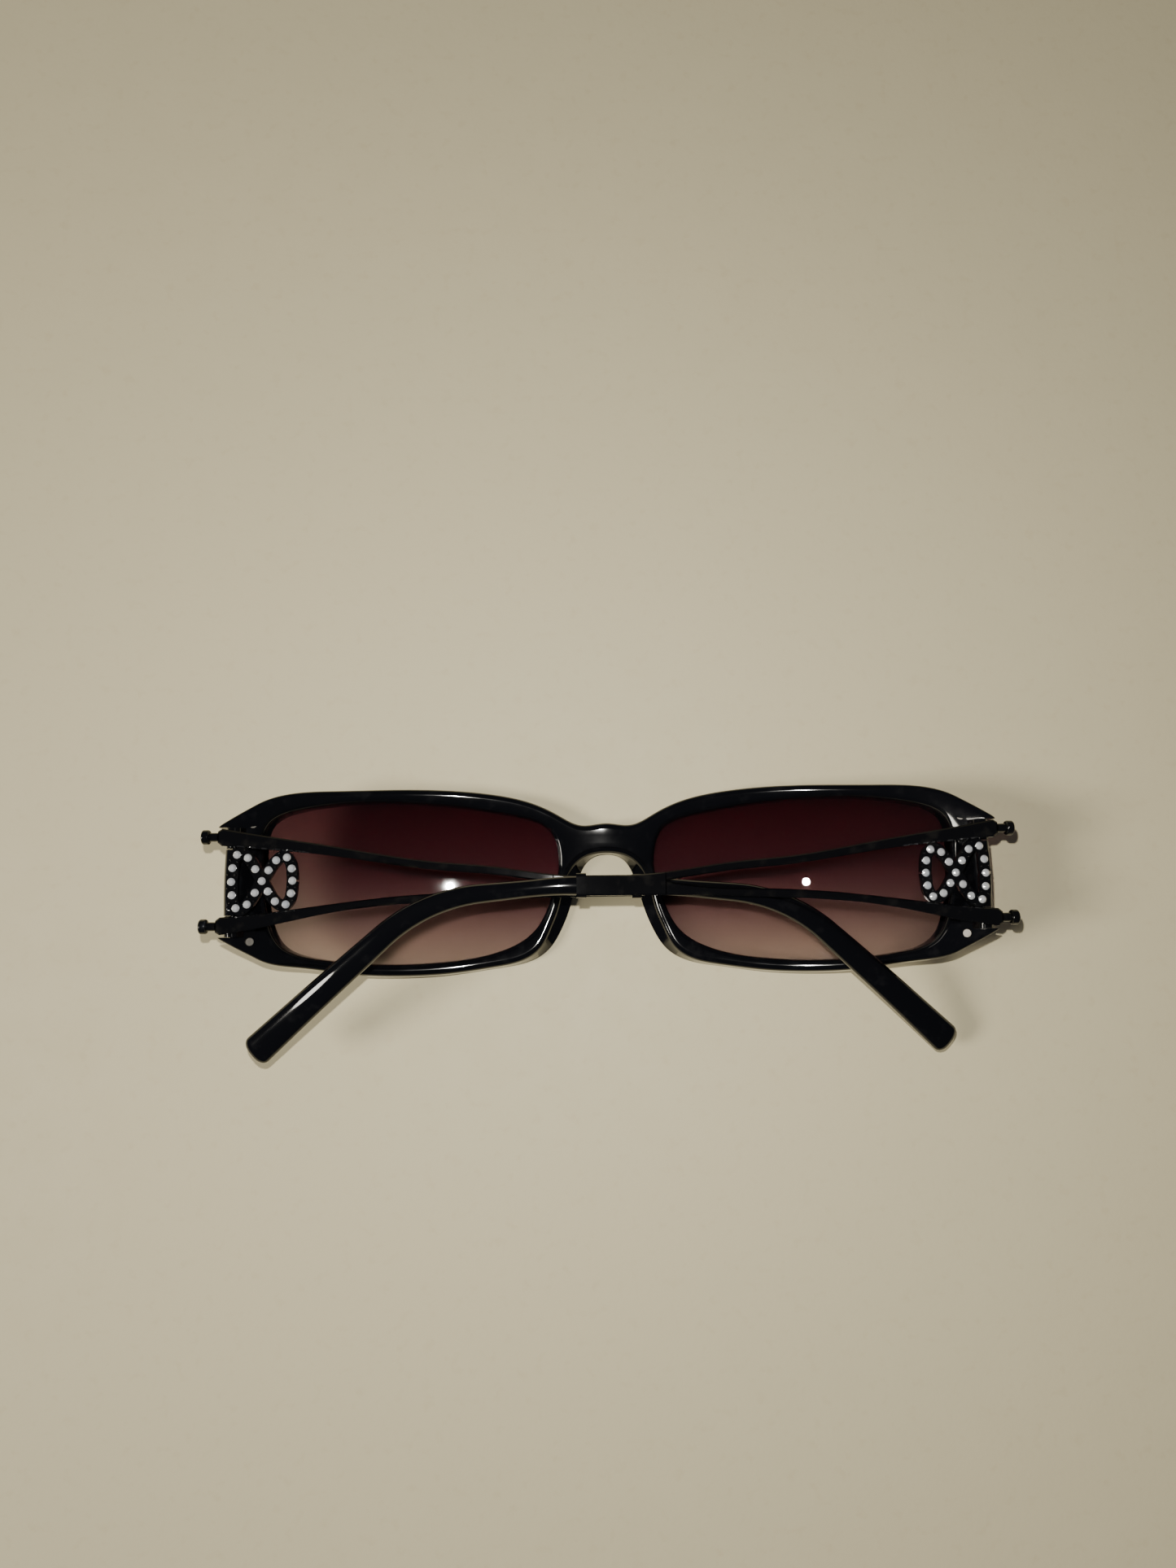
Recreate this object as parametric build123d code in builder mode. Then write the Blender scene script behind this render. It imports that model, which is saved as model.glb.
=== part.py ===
"""Sunglasses with a wrapped acetate front and openwork metal temples, folded and lying face down.

The front faces down and its upper edge points to +Y.  X runs across the face and +Z points from
the lenses to the wearer.  The left temple is folded first and the right temple lies on top of it.
The origin is the middle of the folded outline, on the surface that the front rests on.
"""

from build123d import *
import math
import os

# Front: lenses 54 mm wide and 17 mm apart, with 130 mm temples
FRONT_RADIUS = 88.0  # base 6 curve of the front face
FRONT_THICKNESS = 3.5
CURVE_X = 19.0  # each half of the front is a sphere centred this far from the centre line
CURVE_Y = -1.5  # and this far below the lens's mid-height
CURVE_Z = 87.5
CURVE_SWEEP = 60.0  # degrees of each sphere that the curved blank takes up
BRIDGE_BLEND = 7.6  # half-width of the saddle that joins the two spheres
MID_LENS_Y = 6.9  # lens mid-height line, measured from the model's centre
FRONT_SPAN = 75.0  # half-width of the curved blank
BLANK_BOTTOM = -2.0
BLANK_HEIGHT = 21.9
BLANK_SIDE = 67.6
BLANK_LOW = -25.0
UNDERSIDE_LEVELS = (-1.0, 20.0)
UNDERSIDE_RUNOUT = 9.0
UNDERSIDE_LOW = -30.0
NOSE_SPLAY = 0.6  # sideways flare of the nose walls for each mm towards the face
GROOVE_DEPTH = 0.85
OPENING_ROUND_REAR = 0.7
OPENING_ROUND_FRONT = 0.5
SKIN_AREA = 100.0  # the curved faces of the front are each larger than this
SEAM_SLACK = 0.5
OPENING_KNOTS = 14  # spline points on each half of an opening's edge
RIM_CHAMFER = 0.45

# Lenses
LENS_FRONT_RADIUS = 87.2
LENS_THICKNESS = 2.0
GROOVE_CLEARANCE = 0.05

# Hinges
HINGE_X = 63.4
HINGE_Y = 7.45  # hinges are this far above and below the lens's mid-height
HINGE_Z = 16.0
KNUCKLE_RADIUS = 1.3
TEMPLE_KNUCKLE = 1.1  # height along the pin
LEAF_KNUCKLE = 1.1
KNUCKLE_GAP = 0.1
PIN_RADIUS = 0.5
PIN_CLEARANCE = 0.04
PIN_HEAD_RADIUS = 0.8
PIN_HEAD_HEIGHT = 0.45
PIN_SLOT = 0.18
PIN_SLOT_DEPTH = 0.2
NOTCH_INNER = 5.6  # the swing space cut in the front, from this height
NOTCH_OUTER = 9.25  # to this one
NOTCH_X = 61.7
NOTCH_FLOOR = 13.8
NOTCH_THROUGH_X = 64.4
NOTCH_SIDE = 75.0
NOTCH_LOW = 5.0
NOTCH_HIGH = 30.0

LEAF_INNER = 5.7
LEAF_OUTER = 9.2
PLATE_X = 60.05  # the anchor plate's inner edge
PLATE_OUTER = 11.0
PLATE_SEAT = 14.05  # height of the anchor plate's rear face at its inner edge
PLATE_DEPTH = 0.5
END_RISE = 1.5 / 2.8  # slope of the front at its wrapped ends

# Rivets
RIVET_X = 60.9
RIVET_Y = 10.0
RIVET_RADIUS = 0.5
RIVET_LENGTH = 2.3
RIVET_HEAD_RADIUS = 0.8
RIVET_HEAD_HEIGHT = 0.4
RIVET_TAPER = 20.0

# Temples
FOLD_LIFT = 3.7  # degrees that the right temple lies above the left one
BAR_LOW = 2.1  # inner face of the metal bars, above the hinge axis
BAR_THICKNESS = 1.2
BAR_EDGE = 0.25
BAR_REACH = 12.0  # no part of the bars lies further than this from mid-height
KNUCKLE_WEB = 2.0
FORK_END = 54.4
BAR_END = 69.0
COLLAR_LENGTH = 1.6
COLLAR_WALL = 0.35
COLLAR_ROUND = 0.6
CORE_RADIUS = 0.55
CORE_END = 0.82  # fraction of the sleeve's line that the core wire reaches
TIP_ROUND = 0.4
BAR_NOSE = -1.9  # front end of each bar
BAR_NOSE_HALF = 0.95
FINIAL_NECK_RADIUS = 0.75
FINIAL_NECK = (-1.9, -3.3)
FINIAL_HEAD_RADIUS = 1.25
FINIAL_HEAD = (-3.3, -4.6)
FINIAL_ROUND = 0.35

# Ornament: a ribbon in a figure of eight, narrower towards the tip as the bars close in
RIBBON_CENTRE = 5.7
RIBBON_REACH = 5.1
RIBBON_SWING = 4.45
RIBBON_TAPER = 0.09
RIBBON_WIDTH = 1.9
RIBBON_KNOTS = 6  # spline points on each quarter of the ribbon
RIBBON_STEPS = 200  # for measuring along a loop
PLATE_LOW = 2.15
PLATE_THICKNESS = 0.9
STONE_RADIUS = 0.72
STONE_TABLE_RADIUS = 0.42
STONE_HEIGHT = 0.5
STONES_PER_LOOP = 9
BEAD_RADIUS = 0.2
BEAD_HEIGHT = 0.35
BEAD_OFFSET = 0.62
BEAD_TAPER = 15.0

LENS_PLANE = Plane((0, MID_LENS_Y, 0))
BAR_MIDDLE = BAR_LOW + BAR_THICKNESS / 2
PLATE_TOP = PLATE_LOW + PLATE_THICKNESS


class TempleFrame:
    """One temple's frame: u runs from the hinge to the tip, v is +Y, and w is away from the face.

    The right temple's frame is the left one's mirror image, so its plane's normal points against w
    and each height above the hinge axis is taken times `up`.
    """

    def __init__(self, name, sign, lift):
        angle = math.radians(lift)
        self.name = name
        self.up = -sign
        self.along = Vector(-sign * math.cos(angle), 0, math.sin(angle))
        self.outward = Vector(sign * math.sin(angle), 0, math.cos(angle))
        hinge = (sign * HINGE_X, MID_LENS_Y, HINGE_Z)
        self.plane = Plane(hinge, x_dir=self.along, z_dir=self.outward * self.up)

    def level(self, height):
        """The plane that lies `height` above the hinge axis, with sketch axes u and v."""
        return self.plane.offset(self.up * height)

    def point(self, u, v, w):
        return self.plane.from_local_coords((u, v, self.up * w))

    def slice(self, low, high):
        """A plane with sketch axes u and w; extruding by high - low fills that span of v."""
        v = high if self.up > 0 else low
        return Plane(self.point(0, v, 0), x_dir=self.along, z_dir=(0, -self.up, 0))


LEFT = TempleFrame("left", -1, 0.0)
RIGHT = TempleFrame("right", 1, FOLD_LIFT)
FRAMES = (LEFT, RIGHT)
SIGNS = (("left", -1), ("right", 1))
LEVELS = (("upper", 1), ("lower", -1))


def save(part, name):
    part.label = name
    export_step(part, f"parts/{name}.step")


def upright(y):
    """A plane across the face at height y, with sketch axes X and Z, facing -Y."""
    return Plane((0, MID_LENS_Y + y, 0), x_dir=(1, 0, 0), z_dir=(0, -1, 0))


def wrap_section(front_radius, rear_radius):
    """A section of the curved blank: an arc each side, joined by a saddle at the bridge.

    Its plane holds the axis of the two spheres, and leans back by half of their sweep.
    """
    lean = math.radians(CURVE_SWEEP / 2)
    normal = (0, math.cos(lean), -math.sin(lean))
    with BuildSketch(Plane(wrap_axis().position, x_dir=(1, 0, 0), z_dir=normal)) as section:
        with BuildLine():
            for radius in (front_radius, rear_radius):
                ends = (BRIDGE_BLEND, CURVE_X, FRONT_SPAN)
                right = [(x, math.sqrt(radius**2 - (x - CURVE_X) ** 2)) for x in ends]
                left = [(-x, y) for x, y in right]
                arc = ThreePointArc(*right)
                ThreePointArc(*left)
                slope = arc % 0
                TangentArc(right[0], left[0], tangent=(-slope.X, -slope.Y))
            low, high = [math.sqrt(r**2 - (FRONT_SPAN - CURVE_X) ** 2) for r in (front_radius, rear_radius)]
            for x in (FRONT_SPAN, -FRONT_SPAN):
                Line((x, low), (x, high))
        make_face()
    return section.sketch


def wrap_axis():
    return Axis((0, MID_LENS_Y + CURVE_Y, CURVE_Z), (1, 0, 0))


def curved_blank(front_radius, rear_radius):
    """Adds a double-curved shell that runs across both lenses to the open part."""
    section = wrap_section(front_radius, rear_radius)
    revolve(section, axis=wrap_axis(), revolution_arc=CURVE_SWEEP)


BROW = [
    (0, 10.6),
    (4.4, 10.25),
    (8.6, 12.2),
    (13.2, 14.4),
    (22, 16.3),
    (34, 16.95),
    (47.5, 16.4),
    (60.6, 13.3),
]
BROW_ENDS = ((1, 0), (1, -0.72))
HORN_TOP = (66.4, 9.1)
HORN_BOTTOM = (66.2, -9.1)
SIDE_TOP = (65.4, 5.8)
SIDE_MIDDLE = (65.7, 0)
SIDE_BOTTOM = (65.4, -5.8)

# Lower edge from the nose arch to the outer corner, with each point's share of the splay
UNDERSIDE = [
    ((0, 5.2), (0, 0)),
    ((3.0, 4.4), (0.5, 0.05)),
    ((5.2, 1.7), (1, 0.1)),
    ((7.5, -5.1), (1, 0.1)),
    ((8.9, -8.5), (0.95, 0.1)),
    ((11.1, -12.0), (0.6, 0.2)),
    ((14.5, -14.0), (0.2, 0.2)),
    ((20, -15.1), (0, 0.1)),
    ((28, -16.2), (0, 0.1)),
    ((36, -16.6), (0, 0.1)),
    ((45, -16.25), (0, 0.1)),
    ((53, -15.2), (0, 0.1)),
    ((60.2, -13.5), (0, 0.1)),
]
UNDERSIDE_ENDS = ((1, 0), (1, 0.733))

# Lens opening, from its nasal side over the top to its outer side, and back
OPENING_TOP = [
    (8.6, 3.5),
    (10.0, 9.2),
    (16.6, 12.2),
    (29, 14.1),
    (43, 14.4),
    (52.5, 13.0),
    (58.2, 10.2),
    (59.3, 3),
]
OPENING_BOTTOM = [
    (59.3, 3),
    (58.6, -5),
    (56.2, -10.8),
    (50, -13.2),
    (41, -14.2),
    (30, -14.0),
    (20, -12.4),
    (13, -8.5),
    (9.8, -2),
    (8.6, 3.5),
]


def outline():
    """The front's outer edge without its lower side."""
    with BuildSketch(LENS_PLANE.offset(BLANK_BOTTOM)) as sketch:
        with BuildLine():
            brow = Spline(*BROW, tangents=BROW_ENDS, tangent_scalars=(1, 1))
            Polyline(brow @ 1, HORN_TOP, SIDE_TOP)
            ThreePointArc(SIDE_TOP, SIDE_MIDDLE, SIDE_BOTTOM)
            run_out = (BLANK_SIDE, UNDERSIDE[-1][0][1])
            Polyline(SIDE_BOTTOM, HORN_BOTTOM, run_out, (BLANK_SIDE, BLANK_LOW), (0, BLANK_LOW))
            mirror(about=Plane.YZ)
        make_face()
    return sketch.sketch


def underside(z):
    """What lies below the front's lower edge at height z; the nose walls flare towards the face."""
    flare = (z - 0.5) * NOSE_SPLAY
    edge = [(x + flare * a, y + flare * b) for (x, y), (a, b) in UNDERSIDE]
    corner = edge[-1]
    beyond = (corner[0] + UNDERSIDE_RUNOUT, corner[1] + UNDERSIDE_RUNOUT * UNDERSIDE_ENDS[1][1])
    with BuildSketch(LENS_PLANE.offset(z)) as sketch:
        with BuildLine():
            Spline(*edge, tangents=UNDERSIDE_ENDS, tangent_scalars=(1, 1))
            Polyline(corner, beyond, (beyond[0], UNDERSIDE_LOW), (0, UNDERSIDE_LOW))
            mirror(about=Plane.YZ)
        make_face()
    return sketch.sketch.face()


def opening_side(points, slope, sign, grow):
    """Half of an opening's edge, moved outwards by `grow`."""
    ends = ((0, slope), (0, -slope))
    side = [(sign * x, y) for x, y in points]
    edge = Spline(*side, tangents=ends, tangent_scalars=(1, 1), mode=Mode.PRIVATE)
    moved = []
    for i in range(OPENING_KNOTS + 1):
        at = edge @ (i / OPENING_KNOTS)
        along = edge % (i / OPENING_KNOTS)
        moved.append((at.X - sign * grow * along.Y, at.Y + sign * grow * along.X))
    Spline(*moved, tangents=ends, tangent_scalars=(1, 1))


def opening(grow=0.0, sides=(1, -1)):
    """The lens openings, or the lenses' own outline when it is grown by the groove."""
    with BuildSketch(LENS_PLANE.offset(BLANK_BOTTOM)) as sketch:
        for sign in sides:
            with BuildLine():
                opening_side(OPENING_TOP, 1, sign, grow)
                opening_side(OPENING_BOTTOM, -1, sign, grow)
            make_face()
    return sketch.sketch


def span(level, inner, outer):
    """Low and high y of a hinge feature, given as distances from the lens's mid-height."""
    return (inner, outer) if level > 0 else (-outer, -inner)


def seat_height(x):
    """Height of the anchor plate's rear face, which follows the wrapped end of the front."""
    return PLATE_SEAT + (x - PLATE_X) * END_RISE


def leaf_plate(sign):
    """The anchor plate's section, let into the rear face of the front."""
    top = [(PLATE_X, seat_height(PLATE_X)), (NOTCH_X, seat_height(NOTCH_X))]
    bottom = [(x, z - PLATE_DEPTH) for x, z in reversed(top)]
    return [(sign * x, z) for x, z in top + bottom]


def rivet_plane(sign, level):
    """A plane on the anchor plate, square to the wrapped end of the front."""
    origin = (sign * RIVET_X, MID_LENS_Y + level * RIVET_Y, seat_height(RIVET_X))
    return Plane(origin, x_dir=(0, 1, 0), z_dir=(-sign * END_RISE, 0, 1))


def make_groove():
    """The ring of space around each opening that the lens edges sit in."""
    outer = LENS_FRONT_RADIUS + GROOVE_CLEARANCE
    inner = LENS_FRONT_RADIUS - LENS_THICKNESS - GROOVE_CLEARANCE
    with BuildPart() as groove:
        curved_blank(outer, inner)
        extrude(opening(GROOVE_DEPTH + GROOVE_CLEARANCE), amount=BLANK_HEIGHT, mode=Mode.INTERSECT)
    return groove.part


def skin_edges(part, towards, is_opening):
    """Edges of the curved faces on one side: the openings' edges, or the outer ones."""
    skins = part.faces().filter_by(lambda f: f.geom_type in (GeomType.SPHERE, GeomType.TORUS))
    facing = skins.filter_by(lambda f: f.area > SKIN_AREA and f.normal_at(f.center()).Z * towards > 0)
    if is_opening:
        return ShapeList([edge for face in facing for wire in face.inner_wires() for edge in wire.edges()])
    outer = ShapeList([edge for face in facing for edge in face.outer_wire().edges()])
    return outer.filter_by(lambda e: not is_saddle_seam(e))


def is_saddle_seam(edge):
    return edge.geom_type == GeomType.CIRCLE and abs(abs(edge.center().X) - BRIDGE_BLEND) < SEAM_SLACK


def cut_hinge_seats(sign, level):
    """The swing space, anchor recess and rivet hole of one hinge, cut from the open part."""
    low, high = span(level, NOTCH_INNER, NOTCH_OUTER)
    with BuildSketch(upright(high)) as notch:
        with BuildLine():
            Polyline(
                (sign * NOTCH_X, NOTCH_HIGH),
                (sign * NOTCH_X, NOTCH_FLOOR),
                (sign * NOTCH_THROUGH_X, NOTCH_FLOOR),
                (sign * NOTCH_THROUGH_X, NOTCH_LOW),
                (sign * NOTCH_SIDE, NOTCH_LOW),
                (sign * NOTCH_SIDE, NOTCH_HIGH),
                close=True,
            )
        make_face()
    extrude(notch.sketch, amount=high - low, mode=Mode.SUBTRACT)
    low, high = span(level, LEAF_INNER, PLATE_OUTER)
    plate = leaf_plate(sign)
    with BuildSketch(upright(high)) as recess:
        with BuildLine():
            above = [(x, NOTCH_HIGH) for x, _ in plate[3:1:-1]]
            Polyline(*plate[2:], *above, close=True)
        make_face()
    extrude(recess.sketch, amount=high - low, mode=Mode.SUBTRACT)
    with BuildSketch(rivet_plane(sign, level)) as hole:
        Circle(RIVET_RADIUS)
    extrude(hole.sketch, amount=-RIVET_LENGTH, mode=Mode.SUBTRACT)


# Rounded outer rear corner of the front, as x and z
END_ARC = ((63.27, 15.54), (64.89, 15.56), (65.72, 14.17))


def round_end(sign):
    """Rounds the outer rear corner between the two hinges, so that the temple can swing past it."""
    start, middle, end = [(sign * x, z) for x, z in END_ARC]
    with BuildSketch(upright(NOTCH_INNER)) as corner:
        with BuildLine():
            ThreePointArc(start, middle, end)
            outside = sign * NOTCH_SIDE
            Polyline(end, (outside, end[1]), (outside, NOTCH_HIGH), (start[0], NOTCH_HIGH), start)
        make_face()
    extrude(corner.sketch, amount=2 * NOTCH_INNER, mode=Mode.SUBTRACT)


def make_front():
    groove = make_groove()
    with BuildPart() as front:
        curved_blank(FRONT_RADIUS, FRONT_RADIUS - FRONT_THICKNESS)
        extrude(outline(), amount=BLANK_HEIGHT, mode=Mode.INTERSECT)
        loft([underside(z) for z in UNDERSIDE_LEVELS], ruled=True, mode=Mode.SUBTRACT)
        extrude(opening(), amount=BLANK_HEIGHT, mode=Mode.SUBTRACT)
        fillet(skin_edges(front.part, 1, True), OPENING_ROUND_REAR)
        fillet(skin_edges(front.part, -1, True), OPENING_ROUND_FRONT)
        chamfer(skin_edges(front.part, 1, False) + skin_edges(front.part, -1, False), RIM_CHAMFER)
        add(groove, mode=Mode.SUBTRACT)
        for _, sign in SIGNS:
            round_end(sign)
            for _, level in LEVELS:
                cut_hinge_seats(sign, level)
    return front.part


def make_lens(sign):
    with BuildPart() as lens:
        curved_blank(LENS_FRONT_RADIUS, LENS_FRONT_RADIUS - LENS_THICKNESS)
        extrude(opening(GROOVE_DEPTH, (sign,)), amount=BLANK_HEIGHT, mode=Mode.INTERSECT)
    return lens.part


# The web that carries a knuckle behind its anchor plate, as x and z
LEAF_WEB = [(NOTCH_X, 13.85), (63.4, 14.8), (63.4, 17.2), (62.3, 16.5), (NOTCH_X, 14.95)]


def make_leaf(sign, level):
    """A hinge leaf: a plate anchored in the front and two knuckles that stand behind it."""
    plate = leaf_plate(sign)
    half = TEMPLE_KNUCKLE / 2 + KNUCKLE_GAP
    knuckles = ((LEAF_INNER, HINGE_Y - half), (HINGE_Y + half, LEAF_OUTER))
    with BuildPart() as leaf:
        low, high = span(level, LEAF_INNER, PLATE_OUTER)
        with BuildSketch(upright(high)):
            with BuildLine():
                Polyline(*plate, close=True)
            make_face()
        extrude(amount=high - low)
        for inner, outer in knuckles:
            low, high = span(level, inner, outer)
            with BuildSketch(upright(high)):
                with BuildLine():
                    Polyline(*[(sign * x, z) for x, z in LEAF_WEB], close=True)
                make_face()
                with Locations((sign * HINGE_X, HINGE_Z)):
                    Circle(KNUCKLE_RADIUS)
                    Circle(PIN_RADIUS, mode=Mode.SUBTRACT)
            extrude(amount=high - low)
        low, high = span(level, LEAF_OUTER - PIN_HEAD_HEIGHT, LEAF_OUTER)
        with BuildSketch(upright(high)) as counterbore:
            with Locations((sign * HINGE_X, HINGE_Z)):
                Circle(PIN_HEAD_RADIUS)
        extrude(counterbore.sketch, amount=high - low, mode=Mode.SUBTRACT)
        with BuildSketch(rivet_plane(sign, level)) as hole:
            Circle(RIVET_RADIUS)
        extrude(hole.sketch, amount=-RIVET_LENGTH, mode=Mode.SUBTRACT)
    return leaf.part


def make_pins():
    """Hinge screws: the head lies in the outer knuckle of each leaf, and has a driver slot."""
    with BuildPart() as pins:
        for _, sign in SIGNS:
            for _, level in LEVELS:
                low, high = span(level, LEAF_INNER, LEAF_OUTER)
                with BuildSketch(upright(high)) as shank:
                    with Locations((sign * HINGE_X, HINGE_Z)):
                        Circle(PIN_RADIUS)
                extrude(shank.sketch, amount=high - low)
                low, high = span(level, LEAF_OUTER - PIN_HEAD_HEIGHT, LEAF_OUTER)
                with BuildSketch(upright(high)) as head:
                    with Locations((sign * HINGE_X, HINGE_Z)):
                        Circle(PIN_HEAD_RADIUS)
                extrude(head.sketch, amount=high - low)
                low, high = span(level, LEAF_OUTER - PIN_SLOT_DEPTH, LEAF_OUTER)
                with BuildSketch(upright(high)) as slot:
                    with Locations((sign * HINGE_X, HINGE_Z)):
                        Rectangle(2 * PIN_HEAD_RADIUS, PIN_SLOT)
                extrude(slot.sketch, amount=high - low, mode=Mode.SUBTRACT)
    return pins.part


def make_rivets():
    with BuildPart() as rivets:
        for _, sign in SIGNS:
            for _, level in LEVELS:
                seat = rivet_plane(sign, level)
                with BuildSketch(seat) as shank:
                    Circle(RIVET_RADIUS)
                extrude(shank.sketch, amount=-RIVET_LENGTH)
                with BuildSketch(seat) as head:
                    Circle(RIVET_HEAD_RADIUS)
                extrude(head.sketch, amount=RIVET_HEAD_HEIGHT, taper=RIVET_TAPER)
    return rivets.part


# Temple outlines, as u and v
TEMPLE_TOP = [
    (-1.2, 8.85),
    (7, 7.4),
    (16, 5.95),
    (34.7, 2.9),
    (43, 2.15),
    (50, 1.15),
    (57, 0.25),
    (62, 0.06),
]
TEMPLE_BOTTOM = [
    (-1.2, -8.85),
    (7, -7.43),
    (18, -5.27),
    (35, -3.8),
    (49.6, -3.3),
    (57, -3.26),
    (62, -3.26),
]
GAP_TOP = [
    (-1.2, 5.95),
    (7, 5.2),
    (16, 4.25),
    (34.7, 1.5),
    (43, 0.75),
    (49, -0.05),
    (FORK_END, -0.9),
]
GAP_BOTTOM = [
    (-1.2, -5.95),
    (7, -5.23),
    (18, -3.87),
    (35, -2.4),
    (49.6, -1.75),
    (FORK_END, -0.9),
]


def temple_outline():
    """Both bars and the stretch where they run as one, in u and v."""
    nose_top = HINGE_Y + BAR_NOSE_HALF
    with BuildSketch() as outline:
        with BuildLine():
            top = Spline(*TEMPLE_TOP)
            bottom = Spline(*TEMPLE_BOTTOM)
            square_end = [(BAR_END, points[-1][1]) for points in (TEMPLE_TOP, TEMPLE_BOTTOM)]
            Polyline(top @ 1, *square_end, bottom @ 1)
            Polyline(top @ 0, (BAR_NOSE, nose_top), (BAR_NOSE, -nose_top), bottom @ 0)
        make_face()
        add(temple_gap(), mode=Mode.SUBTRACT)
    return outline.sketch


def temple_gap():
    """The long opening between the two bars, in u and v."""
    nose = HINGE_Y - BAR_NOSE_HALF
    mouth = [(BAR_NOSE, nose), (BAR_NOSE - 1, nose), (BAR_NOSE - 1, -nose), (BAR_NOSE, -nose)]
    with BuildSketch() as gap:
        with BuildLine():
            upper = Spline(*GAP_TOP)
            lower = Spline(*GAP_BOTTOM)
            Polyline(upper @ 0, *mouth, lower @ 0)
        make_face()
    return gap.sketch


def bar_sketch(frame, u_range, v_range):
    """The part of the temple's outline inside a range of u and v."""
    with BuildSketch(frame.level(BAR_LOW)) as sketch:
        add(temple_outline())
        with Locations((u_range[0], v_range[0])):
            size = (u_range[1] - u_range[0], v_range[1] - v_range[0])
            Rectangle(*size, align=(Align.MIN, Align.MIN), mode=Mode.INTERSECT)
    return sketch.sketch


def outer_face_edges(part, frame):
    face = part.faces().sort_by(lambda f: f.center().dot(frame.outward))[-1]
    return face.edges()


def make_bar(frame, level):
    """One metal bar with its hinge knuckle."""
    fork_v = GAP_TOP[-1][1]
    v_range = (fork_v, BAR_REACH) if level > 0 else (-BAR_REACH, fork_v)
    low, high = span(level, HINGE_Y - TEMPLE_KNUCKLE / 2, HINGE_Y + TEMPLE_KNUCKLE / 2)
    with BuildPart() as bar:
        extrude(bar_sketch(frame, (BAR_NOSE - 1, FORK_END), v_range), amount=frame.up * BAR_THICKNESS)
        chamfer(outer_face_edges(bar.part, frame), BAR_EDGE)
        with BuildSketch(frame.slice(low, high)) as knuckle:
            Circle(KNUCKLE_RADIUS)
            Rectangle(KNUCKLE_WEB, BAR_LOW + BAR_EDGE, align=(Align.CENTER, Align.MIN))
            Circle(PIN_RADIUS + PIN_CLEARANCE, mode=Mode.SUBTRACT)
        extrude(knuckle.sketch, amount=high - low)
    return bar.part


def make_joining_bar(frame):
    with BuildPart() as bar:
        sketch = bar_sketch(frame, (FORK_END, BAR_END), (-BAR_REACH, BAR_REACH))
        extrude(sketch, amount=frame.up * BAR_THICKNESS)
        sides = outer_face_edges(bar.part, frame).sort_by(SortBy.LENGTH)[:-3:-1]
        chamfer(sides, BAR_EDGE)
    return bar.part


def make_finials(frame):
    """Nail-head ends that stand beyond the hinges, one on each bar."""
    rods = ((FINIAL_NECK, FINIAL_NECK_RADIUS), (FINIAL_HEAD, FINIAL_HEAD_RADIUS))
    with BuildPart() as finials:
        for _, level in LEVELS:
            for (start, end), radius in rods:
                origin = frame.point(start, level * HINGE_Y, BAR_MIDDLE)
                with BuildSketch(Plane(origin, x_dir=(0, 1, 0), z_dir=frame.along * -1)) as rod:
                    Circle(radius)
                extrude(rod.sketch, amount=start - end)
        circles = finials.edges().filter_by(GeomType.CIRCLE)
        fillet(circles.filter_by(lambda e: e.radius > FINIAL_NECK_RADIUS), FINIAL_ROUND)
    return finials.part


def make_collar(frame):
    """The ring round the end of the joining bar, which closes the mouth of the sleeve."""
    middle = (TEMPLE_TOP[-1][1] + TEMPLE_BOTTOM[-1][1]) / 2
    height = TEMPLE_TOP[-1][1] - TEMPLE_BOTTOM[-1][1]
    origin = frame.point(BAR_END - COLLAR_LENGTH, middle, BAR_MIDDLE)
    with BuildPart() as collar:
        with BuildSketch(Plane(origin, x_dir=(0, 1, 0), z_dir=frame.along)):
            outer = (height + 2 * COLLAR_WALL, BAR_THICKNESS + 2 * COLLAR_WALL)
            RectangleRounded(*outer, COLLAR_ROUND)
            Rectangle(height, BAR_THICKNESS, mode=Mode.SUBTRACT)
        extrude(amount=COLLAR_LENGTH)
    return collar.part


# The sleeve's centre line as u, v and w, with the radius of the bend at each inner point
SLEEVE_LINE = [
    (BAR_END, -1.6, 2.7),
    (72, -1.6, 2.7),
    (93.75, -3.5, 0.3),
    (111.3, -18.6, -5.2),
    (123.2, -28.8, -11.6),
]
SLEEVE_BENDS = (40, 29, 70)

# Sleeve sections at equal steps along that line: width along the temple's height, and thickness
SLEEVE_SECTIONS = [
    (3.3, 2.5),
    (3.05, 2.55),
    (2.95, 2.65),
    (3.05, 2.7),
    (3.35, 2.7),
    (3.85, 2.7),
    (4.4, 2.65),
    (4.9, 2.55),
    (5.4, 2.5),
]


def sleeve_line(frame):
    with BuildLine() as line:
        FilletPolyline(*[frame.point(*p) for p in SLEEVE_LINE], radius=SLEEVE_BENDS)
    return line.wire()


def make_core(frame):
    """The wire core, from the metal bar to most of the way down the sleeve."""
    core_line = sleeve_line(frame).trim(0, CORE_END)
    with BuildPart() as core:
        with BuildSketch(Plane(core_line @ 0, z_dir=core_line % 0)):
            Circle(CORE_RADIUS)
        sweep(path=core_line)
    return core.part


def make_sleeve(frame, core):
    line = sleeve_line(frame)
    last = len(SLEEVE_SECTIONS) - 1
    with BuildPart() as sleeve:
        for i, (width, thickness) in enumerate(SLEEVE_SECTIONS):
            direction = line % (i / last)
            across = frame.outward.cross(direction)
            with BuildSketch(Plane(line @ (i / last), x_dir=across, z_dir=direction)):
                Ellipse(width / 2, thickness / 2)
        loft()
        tip = sleeve.faces().sort_by_distance(line @ 1)[0]
        fillet(tip.edges(), TIP_ROUND)
        add(core, mode=Mode.SUBTRACT)
    return sleeve.part


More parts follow.
